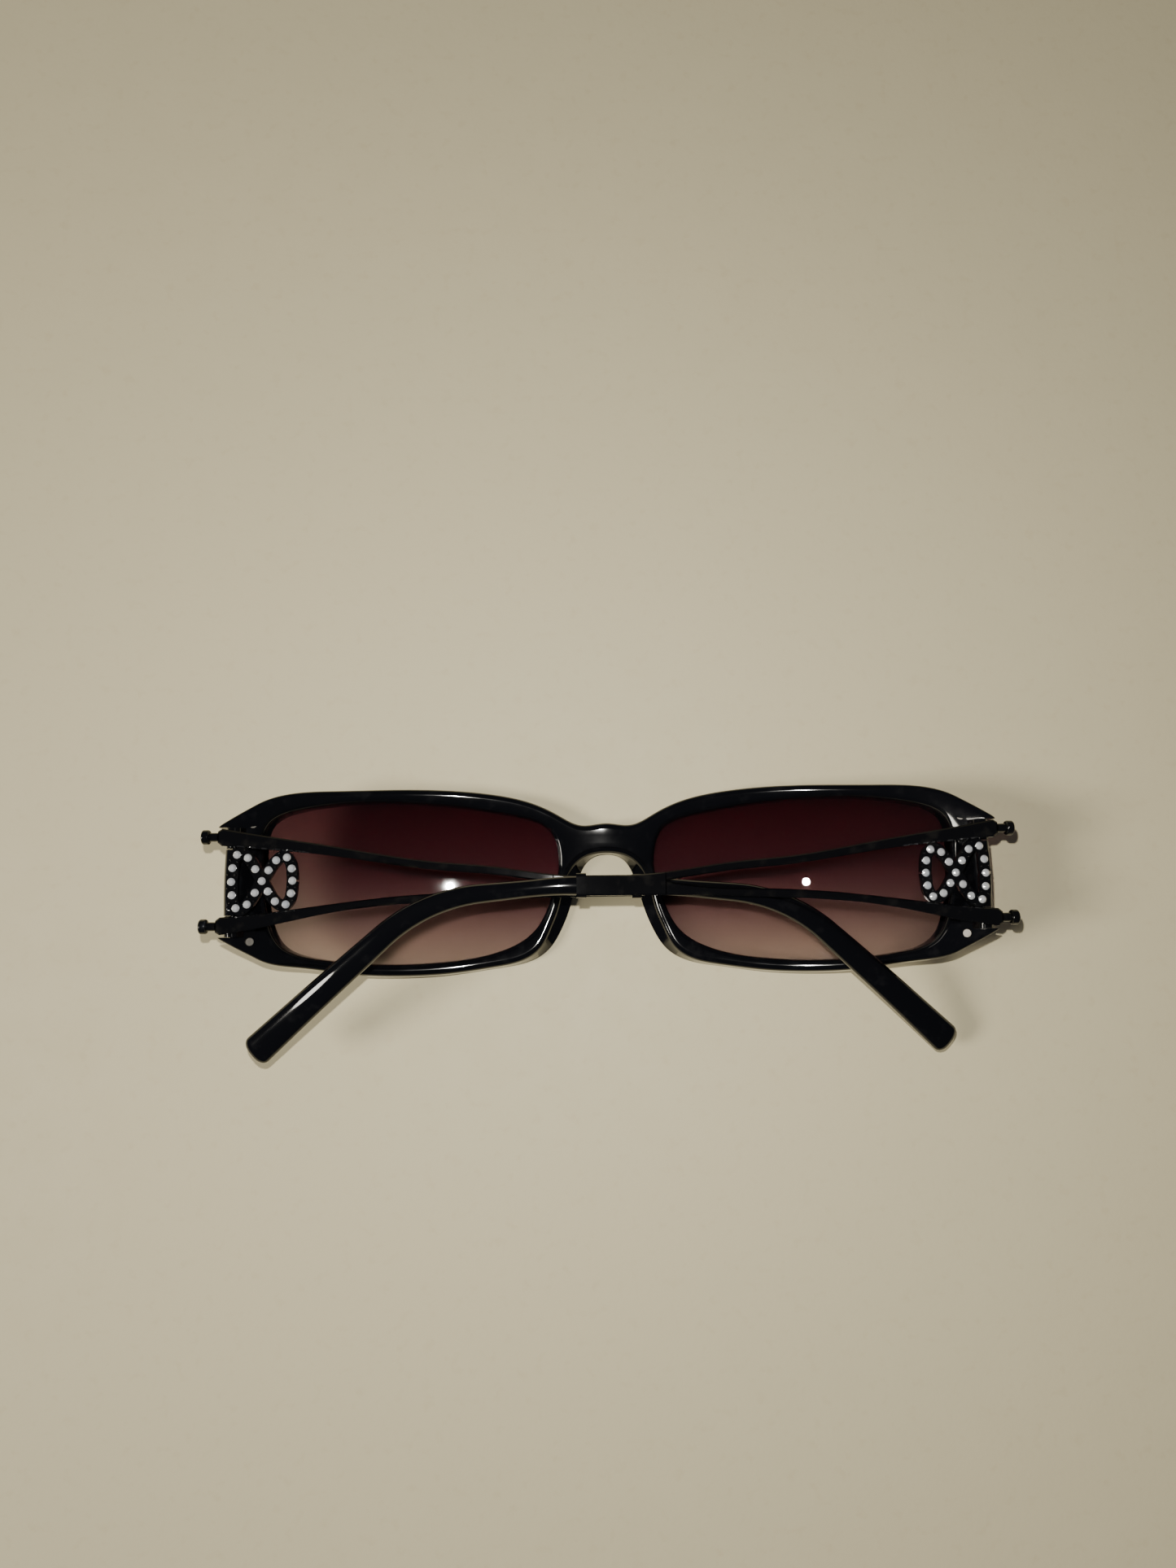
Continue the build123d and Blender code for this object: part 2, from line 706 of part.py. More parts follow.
def ribbon_point(turn):
    """A point on the ribbon's centre line; both loops start and end at the crossing."""
    u = RIBBON_CENTRE + RIBBON_REACH * math.sin(turn)
    swing = RIBBON_SWING - RIBBON_TAPER * (u - RIBBON_CENTRE)
    return (u, swing * math.sin(2 * turn))


def walk_loop(start, share):
    """The point and unit direction at a share of the way round the loop that begins at a turn."""
    turns = [start + math.pi * i / RIBBON_STEPS for i in range(RIBBON_STEPS + 1)]
    points = [ribbon_point(turn) for turn in turns]
    steps = [math.dist(a, b) for a, b in zip(points, points[1:])]
    walked = 0.0
    for i, step in enumerate(steps):
        walked += step
        if walked >= share * sum(steps):
            break
    (u0, v0), (u1, v1) = points[i : i + 2]
    return (u1, v1), ((u1 - u0) / step, (v1 - v0) / step)


LOOP_STARTS = (0.0, math.pi)


def stone_places():
    """One stone at the crossing, and the others at equal steps round both loops."""
    places = [(RIBBON_CENTRE, 0.0)]
    for start in LOOP_STARTS:
        for i in range(1, STONES_PER_LOOP + 1):
            places.append(walk_loop(start, i / (STONES_PER_LOOP + 1))[0])
    return places


def bead_places():
    """Two small beads between neighbouring stones, at the edges of the ribbon."""
    places = []
    for start in LOOP_STARTS:
        for i in range(1, STONES_PER_LOOP):
            (u, v), (du, dv) = walk_loop(start, (i + 0.5) / (STONES_PER_LOOP + 1))
            places += [(u - s * BEAD_OFFSET * dv, v + s * BEAD_OFFSET * du) for s in (1, -1)]
    return places


def make_ornament(frame):
    """The openwork plate: the ribbon, as far as it lies between the two bars."""
    quarter = math.pi / 2
    with BuildPart() as plate:
        with BuildSketch(frame.level(PLATE_LOW)):
            for i in range(4):
                turns = [quarter * (i + step / RIBBON_KNOTS) for step in range(RIBBON_KNOTS + 1)]
                with BuildLine() as arm:
                    Spline(*[ribbon_point(turn) for turn in turns])
                trace(arm.edges(), line_width=RIBBON_WIDTH)
            add(temple_gap(), mode=Mode.INTERSECT)
        extrude(amount=frame.up * PLATE_THICKNESS)
    return plate.part


def make_stones(frame):
    with BuildPart() as stones:
        for place in stone_places():
            with BuildSketch(frame.level(PLATE_TOP)) as girdle:
                with Locations(place):
                    Circle(STONE_RADIUS)
            with BuildSketch(frame.level(PLATE_TOP + STONE_HEIGHT)) as table:
                with Locations(place):
                    Circle(STONE_TABLE_RADIUS)
            loft([girdle.sketch.face(), table.sketch.face()])
    return stones.part


def make_beads(frame):
    with BuildPart() as beads:
        with BuildSketch(frame.level(PLATE_TOP)):
            with Locations(*bead_places()):
                Circle(BEAD_RADIUS)
        extrude(amount=frame.up * BEAD_HEIGHT, taper=BEAD_TAPER)
    return beads.part


os.makedirs("parts", exist_ok=True)

save(make_front(), "front_frame")
for side, sign in SIGNS:
    save(make_lens(sign), f"{side}_lens")
    for place, level in LEVELS:
        save(make_leaf(sign, level), f"{side}_{place}_hinge_leaf")
save(make_pins(), "hinge_screws")
save(make_rivets(), "hinge_rivets")

for frame in FRAMES:
    side = frame.name
    for place, level in LEVELS:
        save(make_bar(frame, level), f"{side}_temple_{place}_bar")
    save(make_joining_bar(frame), f"{side}_temple_joining_bar")
    save(make_finials(frame), f"{side}_bar_finials")
    save(make_collar(frame), f"{side}_sleeve_collar")
    core = make_core(frame)
    save(core, f"{side}_core_wire")
    save(make_sleeve(frame, core), f"{side}_temple_sleeve")
    save(make_ornament(frame), f"{side}_ornament_plate")
    save(make_stones(frame), f"{side}_rhinestones")
    save(make_beads(frame), f"{side}_prong_beads")
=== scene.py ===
"""Folded sunglasses on a pale table, seen from just off straight above."""

import math

import bmesh
import bpy
import numpy as np
from mathutils import Matrix, Vector
from mathutils.geometry import delaunay_2d_cdt


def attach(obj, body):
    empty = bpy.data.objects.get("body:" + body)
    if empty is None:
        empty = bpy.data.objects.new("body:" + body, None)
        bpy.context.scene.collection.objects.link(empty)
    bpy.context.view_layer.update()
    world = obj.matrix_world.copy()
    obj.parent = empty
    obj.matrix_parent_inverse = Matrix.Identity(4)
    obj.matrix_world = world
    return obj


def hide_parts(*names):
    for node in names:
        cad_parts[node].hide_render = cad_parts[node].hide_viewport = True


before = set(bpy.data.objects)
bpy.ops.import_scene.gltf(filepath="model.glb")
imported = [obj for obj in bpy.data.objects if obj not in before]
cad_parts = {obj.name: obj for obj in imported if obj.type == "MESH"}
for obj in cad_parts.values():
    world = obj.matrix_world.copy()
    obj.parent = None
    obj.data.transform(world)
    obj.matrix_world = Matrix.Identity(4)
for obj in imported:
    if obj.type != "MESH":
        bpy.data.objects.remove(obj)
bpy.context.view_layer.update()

MM = 0.001
SIDES = (("left", -1), ("right", 1))

# ---------------------------------------------------------------- front and lenses, in millimetres

MID_Y = 6.9  # the lenses' mid-height line
CURVE = np.array([19.0, MID_Y - 1.5, 87.5])  # centre of each half's spherical surfaces
BLEND = 7.6  # half-width of the saddle between them
FRONT_R, REAR_R = 88.0, 84.5
LENS_FRONT_R, LENS_REAR_R = 87.2, 85.2
LENS_GROW = 0.8  # how far a lens reaches under its rim

# Radii of the rounded edges: outer and rim, at the rear and at the face, and the lens's own.
REAR_ROUND, FACE_ROUND = 1.15, 0.8
RIM_ROUND, FACE_RIM_ROUND = 0.75, 0.5
LENS_ROUND = 0.15

# The right half's outline, with heights from the mid-height line; the left half mirrors it.
BROW = [
    (0, 10.6),
    (4.4, 10.25),
    (8.6, 12.2),
    (13.2, 14.4),
    (22, 16.3),
    (34, 16.95),
    (47.5, 16.4),
    (60.6, 13.3),
]
BROW_TOP = 16.94  # the brow is cut level at this height
BROW_START, BROW_END = (1, 0), (1, -0.72)
UPPER_CORNER, LOWER_CORNER = (66.1, 9.3), (66.0, -9.2)
END_SIDE = [(65.45, 5.8), (65.7, 0), (65.45, -5.8)]
# Each point of the underside, with how much of the splay it takes sideways and upwards.
UNDERSIDE = [
    ((0, 5.2), (0, 0)),
    ((3.0, 4.4), (0.5, 0.05)),
    ((5.2, 1.7), (1, 0.1)),
    ((7.5, -5.1), (1, 0.1)),
    ((8.9, -8.5), (0.95, 0.1)),
    ((11.1, -12.0), (0.6, 0.2)),
    ((14.5, -14.0), (0.2, 0.2)),
    ((20, -15.1), (0, 0.1)),
    ((28, -16.2), (0, 0.1)),
    ((36, -16.6), (0, 0.1)),
    ((45, -16.25), (0, 0.1)),
    ((53, -15.2), (0, 0.1)),
    ((60.2, -13.5), (0, 0.1)),
]
UNDERSIDE_START, UNDERSIDE_END = (1, 0), (1, 0.733)
SPLAY = 0.6  # the nose walls' flare for each mm of height
SPLAY_FROM = 0.5  # height without splay
SPLAY_ROUNDS = 8
BULGE = 0.08  # how far a nearly straight run swells
SOFTEN_ROUNDS = 50

INNER_END, OUTER_END = (8.6, 3.5), (59.3, 3)  # where an opening's upper and lower curves meet
OPENING_TOP = [
    INNER_END,
    (10.0, 9.2),
    (16.6, 12.2),
    (29, 14.1),
    (43, 14.4),
    (52.5, 13.0),
    (58.2, 10.2),
    OUTER_END,
]
OPENING_BOTTOM = [
    OUTER_END,
    (58.6, -5),
    (56.2, -10.8),
    (50, -13.2),
    (41, -14.2),
    (30, -14.0),
    (20, -12.4),
    (13, -8.5),
    (9.8, -2),
    INNER_END,
]
UP, DOWN = (0, 1), (0, -1)

END_ARC = ((63.27, 15.54), (64.89, 15.56), (65.72, 14.17))  # rounded outer rear corner, as x and z
END_ARC_REACH = 7.4  # half-height of that corner
NOTCH = (5.6, 9.25)  # span of a finial's notch, above or below the mid-height line
NOTCH_PROFILE = [(61.7, 13.8), (64.4, 13.8), (64.4, 5.0), (75.0, 5.0), (75.0, 30.0), (61.7, 30.0)]

# How finely the front and the lenses are drawn.
SPAN_STEPS = 40  # drafts of a spline between two of its points
SHORT_RUN, BROW_RUN, LONG_RUN = 40, 200, 300
HALF_DRAFT, OPENING_DRAFT = 1600, 1200
OUTLINE_POINTS, OPENING_POINTS = 1200, 420
SPACING = 1.3
EDGE_STEPS = 7
RING_KEPT = 0.97  # an edge ring's point goes if it is nearer than this share of its inset
MERGE = 1e-6  # flat points nearer than this become one
WELD = 1e-7  # the same for a finished mesh, in metres
CREASE = {"front": 35, "lens": 50, "sleeve": 50, "beads": 40}  # sharp edges start here, in degrees

# ---------------------------------------------------------------- temples, in millimetres

HINGE = (63.4, MID_Y, 16.0)
LIFT = math.radians(3.7)  # the right temple lies this much above the left one

# Points are given as distance along the temple, height and distance from the face.
SLEEVE_LINE = [
    (69, -1.6, 2.7),
    (72, -1.6, 2.7),
    (93.75, -3.5, 0.3),
    (111.3, -18.6, -5.2),
    (123.2, -28.8, -11.6),
]
SLEEVE_BENDS = (40, 29, 70)
SLEEVE_SIZES = [
    (3.1, 2.5),
    (2.85, 2.55),
    (2.85, 2.65),
    (3.0, 2.7),
    (3.35, 2.7),
    (3.85, 2.7),
    (4.4, 2.65),
    (4.9, 2.55),
    (5.4, 2.5),
]
TIP_LENGTH, TIP_DEPTH = 1.5, 0.8  # the rounding of the paddle's end
OVAL_POWER = 2.3
ARC_STEPS = 40
SLEEVE_DRAFT, SIZE_DRAFT = 2000, 400
SLEEVE_RINGS, TIP_RINGS = 149, 14
SLEEVE_SIDES = 40
HEADING_REACH = 8  # draft points to each side that give the sleeve's direction

RIBBON_CENTRE, RIBBON_REACH, RIBBON_SWING, RIBBON_TAPER = 5.7, 5.1, 4.45, 0.09
RIBBON_DRAFT = 400
PLATE_TOP = 3.05
STONES_PER_LOOP = 9
FACETS = 8
STONE_R = 0.66
TABLE_RING = (FACETS, 0.33, 0.50, 0.5)  # corners, radius, height and turn in corners
CROWN_RING = (2 * FACETS, 0.54, 0.33, 0.0)
GIRDLE_RING = (2 * FACETS, STONE_R, 0.16, 0.0)
RIM_RING = (2 * FACETS, STONE_R, 0.05, 0.0)
FOOT_RING = (2 * FACETS, 0.5, -0.05, 0.0)
TILTS_ABOVE = 0.06  # the part of a stone above this height is tilted
TILT_SPREAD = 0.06
STONE_SEEDS = {"left": 7, "right": 11}

BEAD_OFFSET = 0.62  # from the ribbon's middle line
BEAD_R, BEAD_HEIGHT, BEAD_FOOT = 0.2, 0.3, 0.1
BEAD_ROWS, BEAD_SIDES = 5, 14

# ---------------------------------------------------------------- finishes and room

IOR = 1.5
COAT_ROUGHNESS = 0.04
SMUDGE_SCALE, SMUDGE_DETAIL = 120.0, 4.0
RELIEF_SCALE, RELIEF_DETAIL, RELIEF_DEPTH = 900.0, 3.0, 0.0002
SCUFF_SCALE, SCUFF_DETAIL = 420.0, 6.0
SMUDGE_RANGE, SCUFF_RANGE = (0.35, 0.7), (0.56, 0.72)

LENS_LOW, LENS_HIGH = -14.2, 14.4  # the gradient's ends, in millimetres from the mid-height line
LENS_TINTS = [
    (0.0, (0.44, 0.39, 0.40)),
    (0.3, (0.295, 0.23, 0.26)),
    (0.6, (0.18, 0.095, 0.125)),
    (1.0, (0.125, 0.036, 0.058)),
]
LENS_SMUDGE_SCALE, LENS_SMUDGE_DETAIL = 70.0, 5.0
LENS_SMUDGE_RANGE, LENS_ROUGHNESS = (0.45, 0.75), 0.05

# Places and sizes in metres, power in watts.
FLOOR_SIZE = 4.0
CAMERA = (-0.00313, -0.00416, 0.20935)
CAMERA_TILT, CAMERA_ROLL = math.radians(8), math.radians(0.7)
FOCAL_LENGTH, SENSOR_WIDTH = 26.15, 36  # millimetres
CLIP_START = 0.001
FLASH_PLACE = (CAMERA[0] - 0.005, CAMERA[1] + 0.016, CAMERA[2])
FLASH_SIZE, FLASH_POWER, FLASH_COLOUR = 0.0035, 0.36, (1.0, 0.97, 0.9)
WINDOW_PLACE = (-0.75, -0.13, 0.65)
WINDOW_SIZE, WINDOW_POWER, WINDOW_COLOUR = 0.30, 7.2, (1.0, 0.95, 0.84)
ROOM_COLOUR, ROOM_STRENGTH = (0.80, 0.86, 1.0), 0.06


# ---------------------------------------------------------------- curves


def spline(points, count, start=None, end=None):
    """`count` points, evenly spaced, on the cubic spline through the points.

    start and end are the directions there; without one, that end is free of bending.
    """
    p = np.array(points, float)
    n = len(p)
    t = np.concatenate([[0], np.cumsum(np.linalg.norm(np.diff(p, axis=0), axis=1))])
    h = np.diff(t)
    a = np.zeros((n, n))
    b = np.zeros_like(p)
    for i in range(1, n - 1):
        a[i, i - 1 : i + 2] = h[i], 2 * (h[i - 1] + h[i]), h[i - 1]
        b[i] = 3 * (h[i] * (p[i] - p[i - 1]) / h[i - 1] + h[i - 1] * (p[i + 1] - p[i]) / h[i])
    for i, j, tangent in ((0, 1, start), (n - 1, n - 2, end)):
        if tangent is None:
            a[i, i], a[i, j] = 2, 1
            b[i] = 3 * (p[max(i, j)] - p[min(i, j)]) / h[min(i, j)]
        else:
            a[i, i] = 1
            b[i] = np.array(tangent, float) / np.linalg.norm(tangent)
    m = np.linalg.solve(a, b)
    dense = []
    for i in range(n - 1):
        for s in np.linspace(0, 1, SPAN_STEPS, endpoint=i == n - 2):
            dense.append(
                (2 * s**3 - 3 * s**2 + 1) * p[i]
                + (s**3 - 2 * s**2 + s) * h[i] * m[i]
                + (3 * s**2 - 2 * s**3) * p[i + 1]
                + (s**3 - s**2) * h[i] * m[i + 1]
            )
    return resample(np.array(dense), count)


def resample(points, count, closed=False):
    """`count` points, evenly spaced along a line or a closed loop."""
    if closed:
        points = np.vstack([points, points[:1]])
    t = np.concatenate([[0], np.cumsum(np.linalg.norm(np.diff(points, axis=0), axis=1))])
    at = np.linspace(0, t[-1], count, endpoint=not closed)
    return np.stack([np.interp(at, t, points[:, k]) for k in range(points.shape[1])], axis=1)


def rounded_line(points, bends):
    """Straight runs joined by arcs of the given radii."""
    p = [np.array(q, float) for q in points]
    out = [p[0]]
    for i, radius in enumerate(bends, 1):
        back = (p[i - 1] - p[i]) / np.linalg.norm(p[i - 1] - p[i])
        on = (p[i + 1] - p[i]) / np.linalg.norm(p[i + 1] - p[i])
        half = math.acos(float(back @ on)) / 2
        centre = p[i] + (back + on) / np.linalg.norm(back + on) * radius / math.sin(half)
        a, b = p[i] + back * radius / math.tan(half), p[i] + on * radius / math.tan(half)
        for k in np.linspace(0, 1, ARC_STEPS):
            q = a * (1 - k) + b * k - centre
            out.append(centre + q / np.linalg.norm(q) * radius)
    return np.array(out + [p[-1]])


def normals_2d(loop):
    """Unit normals of a clockwise closed loop, pointing out of it."""
    d = np.roll(loop, -1, axis=0) - np.roll(loop, 1, axis=0)
    d /= np.linalg.norm(d, axis=1)[:, None]
    return np.stack([-d[:, 1], d[:, 0]], axis=1)


def soften(loop, rounds):
    """Each point of a closed loop is moved half way to the middle of its neighbours, again and again."""
    for _ in range(rounds):
        loop = loop / 2 + (np.roll(loop, 1, axis=0) + np.roll(loop, -1, axis=0)) / 4
    return loop


def bulged(a, b):
    """A nearly straight run from a to b that swells outwards a little."""
    a, b = np.array(a, float), np.array(b, float)
    along = (b - a) / np.linalg.norm(b - a)
    return spline([a, (a + b) / 2 + np.array((-along[1], along[0])) * BULGE, b], SHORT_RUN)


def in_loop(points, loop):
    """Which points lie inside a closed loop."""
    x, y = points[:, 0], points[:, 1]
    inside = np.zeros(len(points), bool)
    for (x0, y0), (x1, y1) in zip(loop, np.roll(loop, -1, axis=0)):
        crosses = (y0 > y) != (y1 > y)
        with np.errstate(divide="ignore", invalid="ignore"):
            at = (x1 - x0) * (y - y0) / (y1 - y0) + x0
        inside ^= crosses & (x < at)
    return inside


def distance_to(points, loop):
    """Each point's distance to the nearest point of a loop."""
    best = np.full(len(points), np.inf)
    for p in loop:
        best = np.minimum(best, np.hypot(points[:, 0] - p[0], points[:, 1] - p[1]))
    return best


# ---------------------------------------------------------------- the front's surfaces and outlines


def cap_height(xy, radius):
    """Height of the surface `radius` from the spheres' centres, with the saddle at the bridge."""
    x, y = np.abs(xy[:, 0]), xy[:, 1]
    edge = math.sqrt(radius**2 - (CURVE[0] - BLEND) ** 2)
    slope = (CURVE[0] - BLEND) / edge
    saddle_r = BLEND / math.sin(math.atan(slope))
    reach = np.where(
        x > BLEND,
        np.sqrt(np.maximum(radius**2 - (x - CURVE[0]) ** 2, 1)),
        edge + saddle_r * math.cos(math.atan(slope)) - np.sqrt(saddle_r**2 - np.minimum(x, BLEND) ** 2),
    )
    return CURVE[2] - np.sqrt(reach**2 - (y - CURVE[1]) ** 2)


def end_cap(xy):
    """Height limit where the outer rear corner is rounded between the two hinges."""
    (x1, z1), (x2, z2), (x3, z3) = END_ARC
    a = np.array([[2 * (x2 - x1), 2 * (z2 - z1)], [2 * (x3 - x1), 2 * (z3 - z1)]])
    b = np.array([x2**2 - x1**2 + z2**2 - z1**2, x3**2 - x1**2 + z3**2 - z1**2])
    cx, cz = np.linalg.solve(a, b)
    r = math.hypot(x1 - cx, z1 - cz)
    x = np.abs(xy[:, 0])
    z = cz + np.sqrt(np.maximum(r**2 - (x - cx) ** 2, 0))
    inside = (x > x1) & (np.abs(xy[:, 1] - MID_Y) < END_ARC_REACH)
    return np.where(inside, z, np.inf)


def front_rear_height(flat):
    """Height of the front's rear surface, with its outer corners rounded."""
    return np.minimum(cap_height(flat, REAR_R), end_cap(flat))


def front_outline(radius, drop, count):
    """The front's outer edge where it meets one of its surfaces, clockwise from the middle of the brow."""
    brow = spline(BROW, BROW_RUN, BROW_START, BROW_END)
    base = np.array([p for p, _ in UNDERSIDE], float)
    share = np.array([s for _, s in UNDERSIDE], float)
    moved = base
    for _ in range(SPLAY_ROUNDS):
        flare = (cap_height(moved + (0, MID_Y), radius) - drop - SPLAY_FROM) * SPLAY
        moved = base + share * flare[:, None]
    under = spline(moved, LONG_RUN, UNDERSIDE_START, UNDERSIDE_END)
    side = spline(END_SIDE, SHORT_RUN)
    upper = bulged(brow[-1], UPPER_CORNER)
    lower = bulged(LOWER_CORNER, under[-1])
    half = resample(np.vstack([brow[:-1], upper, side, lower[:-1], under[::-1]]), HALF_DRAFT)
    full = np.vstack([half, (half * (-1, 1))[::-1][1:-1]])
    full = soften(resample(full, 2 * HALF_DRAFT, closed=True), SOFTEN_ROUNDS)
    full = resample(full, count, closed=True)
    full[:, 1] = np.minimum(full[:, 1], BROW_TOP)
    return full + (0, MID_Y)


def opening_outline(sign, grow, count):
    """A lens opening's edge, clockwise, moved outwards by grow."""
    top = spline(OPENING_TOP, LONG_RUN, UP, DOWN)
    bottom = spline(OPENING_BOTTOM, LONG_RUN, DOWN, UP)
    loop = resample(np.vstack([top[:-1], bottom[:-1]]), OPENING_DRAFT, closed=True)
    loop = loop + normals_2d(loop) * grow
    loop = resample(loop, count, closed=True)
    if sign < 0:
        loop = (loop * (-1, 1))[::-1]
    return loop + (0, MID_Y)


# ---------------------------------------------------------------- meshes


def hex_grid(low, high):
    """Points in staggered rows that fill a rectangle."""
    rows = np.arange(low[1], high[1], SPACING)
    columns = np.arange(low[0], high[0], SPACING)
    return np.array([(x + (j % 2) * SPACING / 2, y) for j, y in enumerate(rows) for x in columns])


def sheet(loops, height, side_up):
    """A triangulated sheet between loops, whose edges turn over with the given radii.

    loops: (loop, side, radius), side -1 where the material lies inside the loop and +1 outside it.
    side_up is 1 where the edges turn down and -1 where they turn up.
    Returns the vertices, the triangles, and the vertex indices of each loop's own points.
    """
    points, edges, rings = [], [], []
    for loop, side, radius in loops:
        normal = normals_2d(loop) * side
        start, n = len(points), len(loop)
        points.extend(loop)
        edges += [(start + i, start + (i + 1) % n) for i in range(n)]
        rings.append(np.arange(start, start + n))
        for k in range(1, EDGE_STEPS + 1):
            inset = radius * (1 - math.cos(math.pi / 2 * k / EDGE_STEPS))
            ring = loop + normal * inset
            points.extend(ring[distance_to(ring, loop) > inset * RING_KEPT])
    low = np.min([loop.min(0) for loop, _, _ in loops], axis=0)
    high = np.max([loop.max(0) for loop, _, _ in loops], axis=0)
    grid = hex_grid(low, high)
    keep = np.ones(len(grid), bool)
    for loop, side, radius in loops:
        keep &= in_loop(grid, loop) == (side < 0)
        keep &= distance_to(grid, loop) > radius + SPACING / 2
    points.extend(grid[keep])
    verts, _, faces, origin, _, _ = delaunay_2d_cdt([Vector(p) for p in points], edges, [], 0, MERGE)
    flat = np.array([tuple(v) for v in verts])
    index = {source: i for i, sources in enumerate(origin) for source in sources}
    drop = np.zeros(len(flat))
    for loop, _, radius in loops:
        away = np.maximum(radius - distance_to(flat, loop), 0)
        drop = np.maximum(drop, radius - np.sqrt(np.maximum(radius**2 - away**2, 0)))
    centre = np.array([flat[list(f)].mean(0) for f in faces])
    wanted = np.ones(len(faces), bool)
    for loop, side, _ in loops:
        wanted &= in_loop(centre, loop) == (side < 0)
    faces = [tuple(f) for f, w in zip(faces, wanted) if w]
    z = height(flat) - side_up * drop
    return np.column_stack([flat, z]), faces, [np.array([index[i] for i in ring]) for ring in rings]


def shell(rear_loops, front_loops, rear_height, front_height):
    """A closed shell: a rear and a front sheet, and walls between their matching loops."""
    rear, rear_faces, rear_rings = sheet(rear_loops, rear_height, 1)
    front, front_faces, front_rings = sheet(front_loops, front_height, -1)
    base = len(rear)
    faces = rear_faces + [tuple(i + base for i in reversed(f)) for f in front_faces]
    for a, b in zip(rear_rings, front_rings):
        n = len(a)
        faces += [(a[i], a[(i + 1) % n], b[(i + 1) % n] + base, b[i] + base) for i in range(n)]
    return np.vstack([rear, front]), faces


def mesh_object(name, verts, faces, material, sharp=None):
    """A mesh object from points in millimetres."""
    mesh = bpy.data.meshes.new(name)
    places = [tuple(v) for v in np.asarray(verts, float) * MM]
    mesh.from_pydata(places, [], [tuple(int(i) for i in f) for f in faces])
    mesh.validate()
    work = bmesh.new()
    work.from_mesh(mesh)
    bmesh.ops.remove_doubles(work, verts=work.verts, dist=WELD)
    bmesh.ops.recalc_face_normals(work, faces=work.faces)
    work.to_mesh(mesh)
    work.free()
    mesh.shade_smooth()
    if sharp is not None:
        mesh.set_sharp_from_angle(angle=math.radians(sharp))
    mesh.materials.append(material)
    obj = bpy.data.objects.new(name, mesh)
    bpy.context.scene.collection.objects.link(obj)
    return obj


def prism(profile, low, high):
    """A cutter with a profile in x and z, from low to high in y."""
    n = len(profile)
    verts = [(x, y, z) for y in (low, high) for x, z in profile]
    faces = [tuple(range(n)), tuple(range(2 * n - 1, n - 1, -1))]
    faces += [(i, (i + 1) % n, n + (i + 1) % n, n + i) for i in range(n)]
    return mesh_object("cutter", verts, faces, None)


def cut(obj, cutters):
    """Takes the cutters out of obj for good."""
    for cutter in cutters:
        mod = obj.modifiers.new("cut", "BOOLEAN")
        mod.operation, mod.solver, mod.object = "DIFFERENCE", "MANIFOLD", cutter
    bpy.context.view_layer.update()
    made = bpy.data.meshes.new_from_object(obj.evaluated_get(bpy.context.evaluated_depsgraph_get()))
    obj.modifiers.clear()
    old, obj.data = obj.data, made
    bpy.data.meshes.remove(old)
    for cutter in cutters:
        mesh = cutter.data
        bpy.data.objects.remove(cutter)
        bpy.data.meshes.remove(mesh)


# ---------------------------------------------------------------- materials


def new_material(name):
    mat = bpy.data.materials.new(name)
    mat.use_nodes = True
    return mat, mat.node_tree.nodes, mat.node_tree.links, mat.node_tree.nodes["Principled BSDF"]


def noise(nodes, links, coords, scale, detail):
    tex = nodes.new("ShaderNodeTexNoise")
    tex.inputs["Scale"].default_value = scale
    tex.inputs["Detail"].default_value = detail
    links.new(coords.outputs["Object"], tex.inputs["Vector"])
    return tex.outputs["Fac"]


def remap(nodes, links, value, source, target):
    """Maps the source range of a value onto the target range."""
    node = nodes.new("ShaderNodeMapRange")
    node.inputs["From Min"].default_value, node.inputs["From Max"].default_value = source
    node.inputs["To Min"].default_value, node.inputs["To Max"].default_value = target
    links.new(value, node.inputs["Value"])
    return node.outputs["Result"]


def worn(name, base, wear, rough, spread, bump, metallic=0.0, coat=0.0):
    """A finish whose roughness and surface vary, with faint handling wear."""
    mat, nodes, links, bsdf = new_material(name)
    coords = nodes.new("ShaderNodeTexCoord")
    bsdf.inputs["Metallic"].default_value = metallic
    bsdf.inputs["IOR"].default_value = IOR
    bsdf.inputs["Coat Weight"].default_value = coat
    bsdf.inputs["Coat Roughness"].default_value = COAT_ROUGHNESS
    smudge = noise(nodes, links, coords, SMUDGE_SCALE, SMUDGE_DETAIL)
    roughness = remap(nodes, links, smudge, SMUDGE_RANGE, (rough, rough + spread))
    links.new(roughness, bsdf.inputs["Roughness"])
    fine = noise(nodes, links, coords, RELIEF_SCALE, RELIEF_DETAIL)
    relief = nodes.new("ShaderNodeBump")
    relief.inputs["Strength"].default_value = bump
    relief.inputs["Distance"].default_value = RELIEF_DEPTH
    links.new(fine, relief.inputs["Height"])
    links.new(relief.outputs["Normal"], bsdf.inputs["Normal"])
    mix = nodes.new("ShaderNodeMix")
    mix.data_type = "RGBA"
    mix.inputs["A"].default_value = (*base, 1)
    mix.inputs["B"].default_value = (*wear, 1)
    scuff = noise(nodes, links, coords, SCUFF_SCALE, SCUFF_DETAIL)
    links.new(remap(nodes, links, scuff, SCUFF_RANGE, (0.0, 1.0)), mix.inputs["Factor"])
    links.new(mix.outputs["Result"], bsdf.inputs["Base Color"])
    return mat


